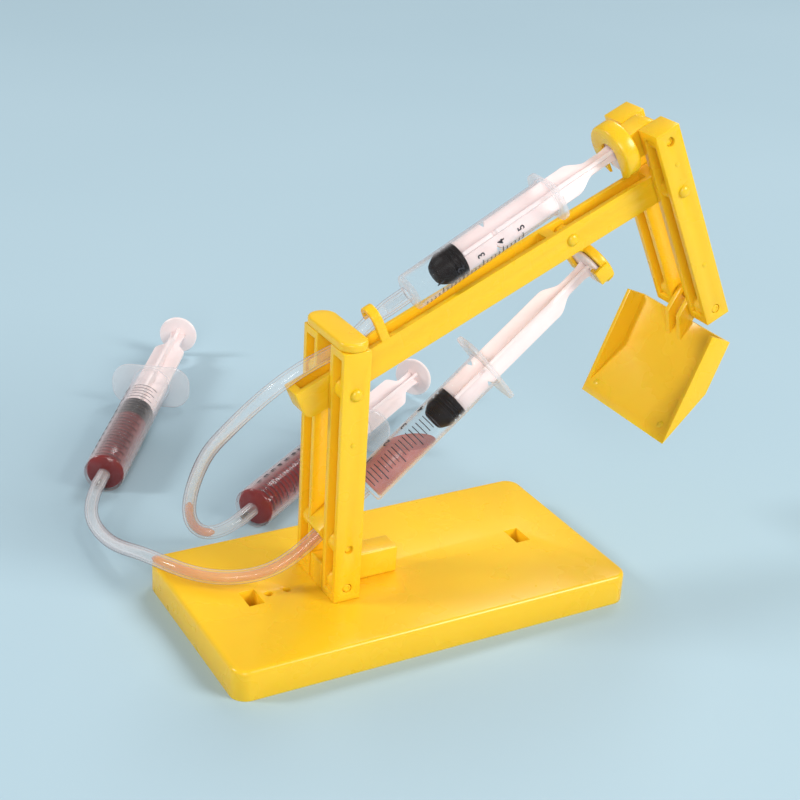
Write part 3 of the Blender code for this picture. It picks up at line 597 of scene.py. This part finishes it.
def build_bucket():
    width, wall = 53.7, 1.9
    front_top, back_top, bend, lip = (117.8, 97.85), (126.7, 94.35), (118.6, 74.1), (100.7, 56.25)
    bucket = plate("scoop", [front_top, lip, bend, back_top], -width / 2, width / 2, side_place())
    back_dir = (Vector(back_top) - Vector(bend)).normalized()
    floor_dir = (Vector(lip) - Vector(bend)).normalized()
    back_in, floor_in = Vector((-back_dir.y, back_dir.x)), Vector((floor_dir.y, -floor_dir.x))
    corner = Vector(bend) + (back_in + floor_in) * wall / (1 + back_in.dot(floor_in))
    hollow = [tuple(corner), tuple(corner + back_dir * 40), (90, 125), (75, 60),
              tuple(corner + floor_dir * 40)]
    cut(bucket, plate("hollow", hollow, -width / 2 + wall, width / 2 - wall, side_place()))
    inner_back = corner + back_dir * 11.5
    gusset = hull(circle(K_BUCKET[0], K_BUCKET[1], 3.5, 32) + [
        (119.6, 97.0), tuple(inner_back + Vector((0.8, -0.3))), (126.0, 94.1)])
    for y0, y1 in ((-4.5, -2.3), (2.3, 4.5)):
        add(bucket, plate("lug", gusset, -y1, -y0, side_place()))
    cut(bucket, rod("hole", K_BUCKET, 1.8, -6, 6))
    piece(soften(bucket, 0.28), YELLOW, "bucket", "bucket")
    # Two low moulding marks inside, near the lip's corners.
    floor_normal = Vector((floor_in.x, 0, floor_in.y))
    spot = Vector((lip[0], 0, lip[1])) - Vector((floor_dir.x, 0, floor_dir.y)) * 5.5 + floor_normal * wall
    for i, y in enumerate((-21.0, 21.0)):
        mark = turned(f"scoop_mark_{i}", [(0, 0.25), (1.2, 0.22), (1.6, -0.1), (0, -0.1)],
                      axis_place(spot + Vector((0, y, 0)), floor_normal, (0, 1, 0)), 24)
        piece(smooth(mark), YELLOW, "bucket")


def build_trunnion():
    angle = math.degrees(math.atan2(LIFT_AXIS.z, LIFT_AXIS.x))
    place, bore = side_place(B_LIFT, angle), CRADLE_BORE
    outline = hull(circle(0, 0, 4.4, 32) + arc(-2.5, bore + 3.2, 1.2, 90, 180, 4) + [
        (6.5, bore + 4.4), (8.5, bore + 2.4), (8.5, -1.8)])
    block = plate("lift_cradle", outline, -4.6, 4.6, place)
    for side in (-1, 1):
        y0, y1 = sorted((side * 3.9, side * 14.6))
        add(block, rod("journal", B_LIFT, 1.35, y0, y1))
    x, z = in_side(B_LIFT, angle, 0, bore)
    cut(block, turned("bore", [(0, 14), (3.0, 14), (3.0, -12), (0, -12)],
                      axis_place((x, 0, z), LIFT_AXIS, (0, 1, 0)), 40))
    piece(soften(block, 0.35), YELLOW, "lift_cylinder", "lift_trunnion")


def build_lift_clip():
    angle = math.degrees(math.atan2(LIFT_AXIS.z, LIFT_AXIS.x))
    side = side_place((LIFT_ORIGIN.x, LIFT_ORIGIN.z), angle)
    place = axis_place(LIFT_ORIGIN, LIFT_AXIS, (0, 1, 0))
    disc = LIFT_PISTON + SMALL["rod"]
    reach = Vector((C_CLIP[0] - LIFT_ORIGIN.x, 0, C_CLIP[1] - LIFT_ORIGIN.z))
    ca, cp = reach.dot(LIFT_AXIS), reach.dot(Vector((-LIFT_AXIS.z, 0, LIFT_AXIS.x)))
    back = disc + DISC_T + 0.3
    clip = turned("lift_rod_plate", [(0, back + 3.6), (8.3, back + 3.6), (9.1, back + 3.2), (9.4, back + 2.6),
                                     (9.4, back + 0.3), (9.1, back), (0, back)], place, 64)
    for s in (-1, 1):
        y0, y1 = sorted((s * 8.5, s * 10.0))
        add(clip, box("claw", (disc - 1.6, -3, y0), (back + 2.4, 3, y1), side))
        y0, y1 = sorted((s * 6.4, s * 9.9))
        add(clip, box("lip", (disc - 1.55, -2.95, y0), (disc - 0.3, 2.95, y1), side))
    lug = hull(circle(ca, cp, 3.75, 32) + [
        (back + 0.05, 9.7), (back + 0.6, 7), (back + 3.5, 7), (back + 3.5, 9.7)])
    add(clip, plate("lug", lug, -2.4, 2.4, side))
    cut(clip, turned("hole", [(0, 6), (2.61, 6), (2.61, -6), (0, -6)],
                     side @ Matrix.Translation((ca, cp, 0)), 36))
    piece(soften(clip, 0.3), YELLOW, "lift_rod", "lift_rod_clip")


def build_elbow_clip():
    angle = math.degrees(math.atan2(ELBOW_AXIS.z, ELBOW_AXIS.x))
    side = side_place((ELBOW_ORIGIN.x, ELBOW_ORIGIN.z), angle)
    place = axis_place(ELBOW_ORIGIN, ELBOW_AXIS, (0, 1, 0))
    disc = ELBOW_PISTON + SMALL["rod"]
    front, back = disc - 1.6, disc + 4.6
    cap = turned("elbow_rod_cap", [
        (0, back), (9.9, back), (10.6, back - 0.3), (10.9, back - 1.0), (10.9, front + 1.0),
        (10.6, front + 0.3), (10.0, front), (0, front)], place, 72)
    cross = place_at(ELBOW_ORIGIN, (0, 1, 0), (-ELBOW_AXIS.z, 0, ELBOW_AXIS.x))
    for r, s0, s1 in ((SMALL["disc_r"] + 0.35, disc - 0.3, disc + DISC_T + 0.3), (4.4, front - 1, disc)):
        cut(cap, plate("pocket", arc(0, 0, r, 0, 180, 32) + [(-r, -20), (r, -20)], s0, s1, cross))
    reach = Vector((T_CLIP[0] - ELBOW_ORIGIN.x, 0, T_CLIP[1] - ELBOW_ORIGIN.z))
    t_a, drop, r = reach.dot(ELBOW_AXIS), 1.35, 1.88
    tongue = hull([(back - 1.2, 4.6), (back - 1.2, -5.8)] + circle(t_a, 0, 4.8, 36)
                  + circle(t_a, -drop, 4.8, 36))
    slot = hull(circle(t_a, 0, r, 32) + circle(t_a, -drop, r, 32))
    add(cap, plate("tongue", tongue, -4.6, 4.6, side, holes=[slot]))
    piece(soften(cap, 0.3), YELLOW, "elbow_rod", "elbow_rod_clip")


# ---------------------------------------------------------------- syringes

def build_barrel(name, size, place, ears_across, body, node):
    outer, inner = size["od"] / 2, size["bore"] / 2
    length = size["barrel"]
    long_side, short_side, thick = size["flange"]
    profile = [
        (inner, length + thick), (outer + 0.4, length + thick), (outer + 0.4, length), (outer, length - 0.8),
        (outer, 0.9), (outer - 0.25, 0.3), (outer - 0.8, 0), (NOZZLE_R + 0.5, 0), (NOZZLE_R, -0.5),
        (NOZZLE_R - 0.2, -NOZZLE_L + 0.3), (NOZZLE_R - 0.45, -NOZZLE_L), (NOZZLE_BORE_R, -NOZZLE_L),
        (NOZZLE_BORE_R, 1.2), (inner - 0.8, 1.35), (inner, 2.1)]
    barrel = turned(name, profile, place, 72)
    piece(smooth(barrel), BARREL, body, node)
    if not ears_across:
        long_side, short_side = ELBOW_FLANGE
    size_xy = (long_side, short_side) if ears_across else (short_side, long_side)
    outline = rounded(size_xy[0], size_xy[1], short_side / 2 - 1.6, 14)
    flange = plate(f"{name}_flange", outline, length + 0.15, length + thick - 0.02, place,
                   holes=[circle(0, 0, outer + 0.42, 72)])
    piece(soften(flange, 0.3), FLANGE, body)


def dome(size, at):
    """The piston's nose, from its rim to its tip, as (radius, height)."""
    r, low, nose = size["bore"] / 2 - SEAL_GAP, at - size["seal"], size["nose"]
    return [(r * w, low + nose * h) for w, h in
            ((1.0, 1.0), (0.97, 0.91), (0.90, 0.74), (0.74, 0.35), (0.62, 0.12), (0.50, 0.03), (0, 0))]


def build_piston(name, size, place, at, body, node):
    r = size["bore"] / 2 - SEAL_GAP
    low, top = r - 0.75, at - size["seal"] + size["nose"]
    profile = [(0, at), (r - 0.35, at), (r - 0.1, at - 0.12), (r, at - 0.4), (r, at - 1.6),
               (r - 0.15, at - 1.85), (low, at - 2.15), (low, at - 2.7), (r - 0.15, at - 3.0),
               (r, at - 3.2), (r, at - 3.9), (r - 0.15, at - 4.1), (low, at - 4.4), (low, at - 4.9),
               (r - 0.15, at - 5.2), (r, top + 0.9)]
    piece(smooth(turned(name, profile + dome(size, at), place, 64), 30), RUBBER, body, node)


def build_plunger(name, size, place, at, facing, body, node):
    rod_l, rib, stem = size["rod"], size["rib"], size["stem"]
    z0, disc = at + 0.15, at + size["rod"]
    crown, neck, half_t = 12.4, rod_l - 20, 0.75
    taper = [(0.0, rib), (crown, rib), (crown + 1.2, rib - 2.0), (crown + 2.4, rib), (neck, rib)]
    taper += [(neck + 8.5 * t, rib + (stem - rib) * t * t * (3 - 2 * t)) for t in
              (0.12, 0.25, 0.38, 0.5, 0.62, 0.75, 0.88, 1.0)]
    taper += [(rod_l - 4, stem), (rod_l - 0.12, stem + 0.6)]
    turn = place @ Matrix.Rotation(math.radians(facing), 4, "Z")
    bm = bmesh.new()
    rings = []
    for s, w in taper:
        arm = [(w, -half_t), (w, half_t), (half_t, half_t)]
        ring = []
        for _ in range(4):
            ring += arm
            arm = [(-y, x) for x, y in arm]
        rings.append([bm.verts.new(turn @ Vector((x, y, z0 + s))) for x, y in ring])
    for low, high in zip(rings, rings[1:]):
        for k in range(12):
            bm.faces.new((low[k], low[(k + 1) % 12], high[(k + 1) % 12], high[k]))
    bm.faces.new(rings[0][::-1])
    bm.faces.new(rings[-1])
    piece(soften(from_bmesh(name, bm), 0.18, 2, 40), PLUNGER, body, node)
    disc_r = size["disc_r"]
    thumb = turned(f"{name}_thumb", [
        (0, disc + DISC_T - 0.3), (disc_r - 2.2, disc + DISC_T - 0.3), (disc_r - 1.4, disc + DISC_T),
        (disc_r - 0.4, disc + DISC_T), (disc_r, disc + DISC_T - 0.45), (disc_r, disc + 0.4),
        (disc_r - 0.4, disc), (0, disc)], place, 64)
    piece(smooth(thumb), PLUNGER, body)


def fluid_between(name, size, place, at, material, node, level=None):
    """The liquid from the barrel's closed end to the piston's nose, or up to the flat surface at `level`."""
    r, top = size["bore"] / 2 - 0.1, at - size["seal"]
    closed_end = [(r, 2.4), (r - 0.7, 1.6), (0, 1.45)]
    if level is None:
        nose = [(min(x, r), z - 0.12) for x, z in dome(size, at)[::-1]]
        profile = nose[:-1] + [(r, nose[-1][1])]
        profile += [(r, 8 + k * (nose[-1][1] - 8) / 6) for k in (5, 4, 3, 2, 1)]
        fluid = turned(name, profile + closed_end, place, 64)
    else:
        fluid = turned(name, [(0, top - 0.3), (r, top - 0.3)] + closed_end, place, 64)
        cut(fluid, box("air", (-60, -30, level), (90, 30, level + 80)))
    smooth(fluid, 50)
    fluid.data.materials.clear()
    fluid.data.materials.append(material)
    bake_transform(fluid)
    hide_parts(node)


def curved_mark(bm, place, r, s, half_s, phi0, phi1, thick=0.06):
    """A closed strip of ink round the barrel at height s, between two angles in degrees."""
    count = max(3, int(abs(phi1 - phi0) / 6) + 1)
    rings = []
    for i in range(count + 1):
        phi = math.radians(phi0 + (phi1 - phi0) * i / count)
        ring = []
        for rr, ss in ((r, s - half_s), (r + thick, s - half_s), (r + thick, s + half_s), (r, s + half_s)):
            ring.append(bm.verts.new(place @ Vector((rr * math.cos(phi), rr * math.sin(phi), ss))))
        rings.append(ring)
    for a, b in zip(rings, rings[1:]):
        for k in range(4):
            bm.faces.new((a[k], a[(k + 1) % 4], b[(k + 1) % 4], b[k]))
    bm.faces.new(rings[0][::-1])
    bm.faces.new(rings[-1])


def build_scale(name, size, place, first, minors, last, ticks, labels, body):
    """Printed graduations and plain numbers, wrapped on the barrel. `ticks` is (start, long end, short end),
    in degrees round the barrel, and the numbers are centred at `labels`."""
    r, per_ml = size["od"] / 2 + 0.012, size["per_ml"]
    bm = bmesh.new()
    start, long_end, short_end = ticks
    for k in range(last + 1):
        height, whole = first + k * per_ml / minors, k % minors == 0
        if height >= 1.5:
            half, end = (0.19, long_end) if whole else (0.16, short_end)
            curved_mark(bm, place, r, height, half, start, end)
    piece(from_bmesh(name, bm), INK, body)
    for number in range(1, last // minors + 1):
        data = bpy.data.curves.new(f"{name}_{number}", "FONT")
        data.body = str(number)
        data.size = 3.9
        data.extrude = 0.03
        data.offset = 0.07
        data.align_x = "CENTER"
        data.align_y = "CENTER"
        data.resolution_u = 4
        source = bpy.data.objects.new(f"{name}_{number}_source", data)
        bpy.context.scene.collection.objects.link(source)
        digit = settle(f"{name}_{number}", source)
        height = first + number * per_ml
        for vertex in digit.data.vertices:
            x, y, z = vertex.co
            phi = math.radians(labels) - x / r
            out = r + 0.03 + z
            vertex.co = place @ Vector((out * math.cos(phi), out * math.sin(phi), height - y))
        bm = bmesh.new()
        bm.from_mesh(digit.data)
        bmesh.ops.recalc_face_normals(bm, faces=bm.faces)
        bm.to_mesh(digit.data)
        bm.free()
        piece(digit, INK, body)


def build_syringes():
    lift = axis_place(LIFT_ORIGIN, LIFT_AXIS, (0, 1, 0))
    elbow = axis_place(ELBOW_ORIGIN, ELBOW_AXIS, (0, 1, 0))
    lift_hand = axis_place(LIFT_HAND_ORIGIN, LIFT_HAND_AXIS)
    elbow_hand = axis_place(ELBOW_HAND_ORIGIN, ELBOW_HAND_AXIS)
    for prefix, node, size, place, at, facing, barrel_body, rod_body, across in (
            ("lift_syringe", "lift", SMALL, lift, LIFT_PISTON, -37, "lift_cylinder", "lift_rod", True),
            ("elbow_syringe", "elbow", SMALL, elbow, ELBOW_PISTON, -37, "boom", "elbow_rod", False),
            ("lift_hand", "lift_control", LARGE, lift_hand, LIFT_HAND_PISTON, 7,
             "base", "lift_hand_rod", True),
            ("elbow_hand", "elbow_control", LARGE, elbow_hand, ELBOW_HAND_PISTON, 42,
             "base", "elbow_hand_rod", True)):
        build_barrel(f"{prefix}_tube", size, place, across, barrel_body, f"{node}_barrel")
        build_piston(f"{prefix}_seal", size, place, at, rod_body, f"{node}_piston")
        build_plunger(f"{prefix}_rod", size, place, at, facing, rod_body, f"{node}_plunger")
    fluid_between("lift_hand_water", LARGE, lift_hand, LIFT_HAND_PISTON, RED,
                  "lift_control_fluid")
    fluid_between("elbow_hand_water", LARGE, elbow_hand, ELBOW_HAND_PISTON, RED,
                  "elbow_control_fluid")
    fluid_between("lift_water", SMALL, lift, LIFT_PISTON, PALE, "lift_fluid",
                  level=LIFT_LEVEL)
    build_scale("lift_syringe_scale", SMALL, lift, -0.8, 5, 20, (-162, -96, -112), -190, "lift_cylinder")
    build_scale("elbow_syringe_scale", SMALL, elbow, 1.4, 5, 25, (-38, -74, -62), -93, "boom")
    build_scale("lift_hand_scale", LARGE, lift_hand, 3.0, 2, 24, (62, 142, 130), 41, "base")
    build_scale("elbow_hand_scale", LARGE, elbow_hand, 3.0, 2, 24, (97, 177, 165), 76, "base")


# ---------------------------------------------------------------- tubes

def smooth_path(route, step):
    """Points at about `step` along a smooth curve through the route."""
    points = [Vector(p) for p in route]
    ends = [points[0] * 2 - points[1]] + points + [points[-1] * 2 - points[-2]]
    fine = []
    for i in range(1, len(ends) - 2):
        p0, p1, p2, p3 = ends[i - 1:i + 3]
        for k in range(24):
            t = k / 24
            fine.append(0.5 * (2 * p1 + (p2 - p0) * t + (2 * p0 - 5 * p1 + 4 * p2 - p3) * t * t
                               + (3 * p1 - p0 - 3 * p2 + p3) * t ** 3))
    fine.append(points[-1])
    total = sum((q - p).length for p, q in zip(fine, fine[1:]))
    count = max(int(round(total / step)), 2)
    out, run, k = [fine[0]], 0.0, 1
    for p, q in zip(fine, fine[1:]):
        length = (q - p).length
        while k < count and run + length >= total * k / count:
            out.append(p.lerp(q, (total * k / count - run) / length))
            k += 1
        run += length
    return out + [fine[-1]]


def relax(path, rounds=24, held=6):
    """Evens out the bends, as a springy tube does, and leaves the ends on their nozzles."""
    for _ in range(rounds):
        inner = [(p + q * 2 + r) / 4 for p, q, r in zip(path[held - 1:], path[held:-held], path[held + 1:])]
        path = path[:held] + inner + path[-held:]
    return path


def sweep(name, path, outer, inner=None, sides=28):
    """A round tube along the path. `outer` and `inner` give the radius at a distance from its nearer end."""
    total = sum((q - p).length for p, q in zip(path, path[1:]))
    run, side = 0.0, None
    walls = {"outer": [], "inner": []}
    bm = bmesh.new()
    for i, p in enumerate(path):
        ahead = (path[min(i + 1, len(path) - 1)] - path[max(i - 1, 0)]).normalized()
        side = ahead.orthogonal() if side is None else side - ahead * side.dot(ahead)
        side.normalize()
        up = ahead.cross(side)
        if i:
            run += (p - path[i - 1]).length
        near_end = min(run, total - run)
        for wall, radius in (("outer", outer), ("inner", inner)):
            if radius is None:
                continue
            r = radius(near_end)
            walls[wall].append([bm.verts.new((p + side * r * math.cos(2 * math.pi * k / sides)
                                              + up * r * math.sin(2 * math.pi * k / sides)) * MM)
                                for k in range(sides)])
    for rings in walls.values():
        for a, b in zip(rings, rings[1:]):
            for k in range(sides):
                bm.faces.new((a[k], a[(k + 1) % sides], b[(k + 1) % sides], b[k]))
    for end in (0, -1):
        if inner is None:
            bm.faces.new(walls["outer"][end])
        else:
            a, b = walls["outer"][end], walls["inner"][end]
            for k in range(sides):
                bm.faces.new((a[k], a[(k + 1) % sides], b[(k + 1) % sides], b[k]))
    return smooth(from_bmesh(name, bm), 50)


def hose_outer(s):
    """The hose swells a little where it is pushed over a nozzle."""
    return TUBE_R + 0.28 * max(0.0, min(1.0, (11.5 - s) / 3))


def hose_inner(s):
    return TUBE_BORE_R + 0.4 * max(0.0, min(1.0, (11.5 - s) / 3))


def slug_outer(s):
    return (TUBE_BORE_R - 0.08) * min(1.0, 0.35 + s / 3)


def build_hoses():
    a = math.degrees(math.atan2(LIFT_AXIS.z, LIFT_AXIS.x))

    def cradle(s):
        x, z = in_side(B_LIFT, a, s, CRADLE_BORE)
        return Vector((x, 0, z))

    lift_hand = [LIFT_HAND_ORIGIN + LIFT_HAND_AXIS * s for s in (HOSE_END, NOZZLE_TIP, -15)]
    lift = [LIFT_ORIGIN + LIFT_AXIS * s for s in (NOZZLE_TIP, HOSE_END)]
    elbow_hand = [ELBOW_HAND_ORIGIN + ELBOW_HAND_AXIS * s for s in (HOSE_END, NOZZLE_TIP, -14)]
    elbow = [ELBOW_ORIGIN + ELBOW_AXIS * s for s in (-17, NOZZLE_TIP, HOSE_END)]
    lift_route = [
        *lift_hand, (-86.9, 91.0, 6.2), (-88.0, 79.0, 5.4), (-87.4, 64.0, 7.4), (-85.7, 51.5, 11.0),
        (-82.8, 39.0, 14.7), (-77.5, 24.5, 16.3), (-70.2, 14.0, 16.4), (-60.5, 8.0, 16.6),
        (-51.5, 3.8, 18.4), (-44.6, 0.9, 22.4), cradle(-10.5), cradle(-4), *lift]
    elbow_route = [
        *elbow_hand, (-48.0, 58.6, 4.4), (-54.6, 59.2, 7.4), (-58.2, 58.0, 15.5), (-59.2, 53.6, 27.0),
        (-60.0, 44.0, 42.0), (-60.4, 32.0, 57.0), (-59.0, 17.5, 72.0), (-54.8, 5.6, 86.0),
        (-46.5, 0.9, 95.5), (-36.9, 0.0, 100.9), (-28.6, 0.0, 103.9), (-22.8, 0.0, 105.5),
        (-18.5, 0.0, 108.7), *elbow]
    # The bend is a pair of points along the tube, and the wet part is a share of the tube's length.
    for name, route, node, moving, bend, wet in (
            ("lift_hose", lift_route, "lift_tube", "lift_cylinder",
             ((-62, 8, 16), (-36, 0, 28)), (0.48, 0.90)),
            ("elbow_hose", elbow_route, "elbow_tube", "boom",
             ((-60, 40, 46), (-37, 0, 101)), (0.115, 0.25))):
        path = relax(smooth_path(route, 1.6))
        hose = sweep(name, path, hose_outer, hose_inner)
        hose.data.materials.append(TUBING)
        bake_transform(hose)
        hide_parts(node)
        run = path[int(wet[0] * len(path)):int(wet[1] * len(path))]
        water = sweep(f"{name}_water_0", run, slug_outer, sides=20)
        water.data.materials.append(SLUG)
        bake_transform(water)


# ---------------------------------------------------------------- stage

def area_light(name, at, target, size, watts, colour=(1, 1, 1)):
    data = bpy.data.lights.new(name, "AREA")
    data.shape = "DISK"
    data.size = size
    data.energy = watts
    data.color = colour
    light = bpy.data.objects.new(name, data)
    bpy.context.scene.collection.objects.link(light)
    light.location = at
    light.rotation_euler = (Vector(target) - Vector(at)).to_track_quat("-Z", "Y").to_euler()


def build_stage():
    mesh = bpy.data.meshes.new("table_top")
    bm = bmesh.new()
    bmesh.ops.create_grid(bm, x_segments=1, y_segments=1, size=15)
    bm.to_mesh(mesh)
    bm.free()
    floor = bpy.data.objects.new("table_top", mesh)
    bpy.context.scene.collection.objects.link(floor)
    material, tree, shader = new_material("pale_blue_paper", (0.435, 0.582, 0.662), 0.85,
                                          Specular_IOR_Level=0.2)
    tree.links.new(two_tone(tree, noise(tree, 2.0, 2), (0.425, 0.572, 0.652), (0.445, 0.592, 0.672)),
                   shader.inputs["Base Color"])
    mesh.materials.append(material)

    world = bpy.data.worlds.new("studio")
    bpy.context.scene.world = world
    world.use_nodes = True
    background = world.node_tree.nodes["Background"]
    background.inputs["Color"].default_value = (0.93, 0.97, 1.0, 1)
    background.inputs["Strength"].default_value = 0.27
    area_light("key", (1.5, -1.9, 1.7), (0, 0.03, 0.06), 1.3, 60, (1.0, 0.985, 0.955))
    area_light("front", (-1.2, -2.1, 1.1), (0, 0.03, 0.06), 1.2, 24, (1.0, 0.985, 0.96))
    area_light("left", (-2.0, 0.9, 1.5), (0, 0.03, 0.04), 0.6, 27, (1.0, 1.0, 1.0))
    area_light("top", (1.5, 1.2, 2.3), (0, 0.05, 0.05), 1.2, 26, (0.98, 0.99, 1.0))


def build_camera():
    eye = Vector((-0.256492, -0.440676, 0.319656))
    azimuth, elevation, roll = math.radians(-30.178), math.radians(25.1), math.radians(3.526)
    back = Vector((math.sin(azimuth) * math.cos(elevation), -math.cos(azimuth) * math.cos(elevation),
                   math.sin(elevation)))
    right = Vector((math.cos(azimuth), math.sin(azimuth), 0))
    up = back.cross(right)
    turned_right = right * math.cos(roll) + up * math.sin(roll)
    turned_up = up * math.cos(roll) - right * math.sin(roll)
    data = bpy.data.cameras.new("photo_view")
    data.sensor_width = 36
    data.lens = 70.63
    data.clip_start = 0.01
    camera = bpy.data.objects.new("photo_view", data)
    bpy.context.scene.collection.objects.link(camera)
    turn = Matrix((turned_right, turned_up, back)).transposed().to_4x4()
    camera.matrix_world = Matrix.Translation(eye) @ turn
    bpy.context.scene.camera = camera


bpy.context.scene.view_settings.view_transform = "Standard"
build_camera()
build_hoses()
build_base()
build_post()
build_boom()
build_forearm()
build_bucket()
build_trunnion()
build_lift_clip()
build_elbow_clip()
build_syringes()
build_stage()
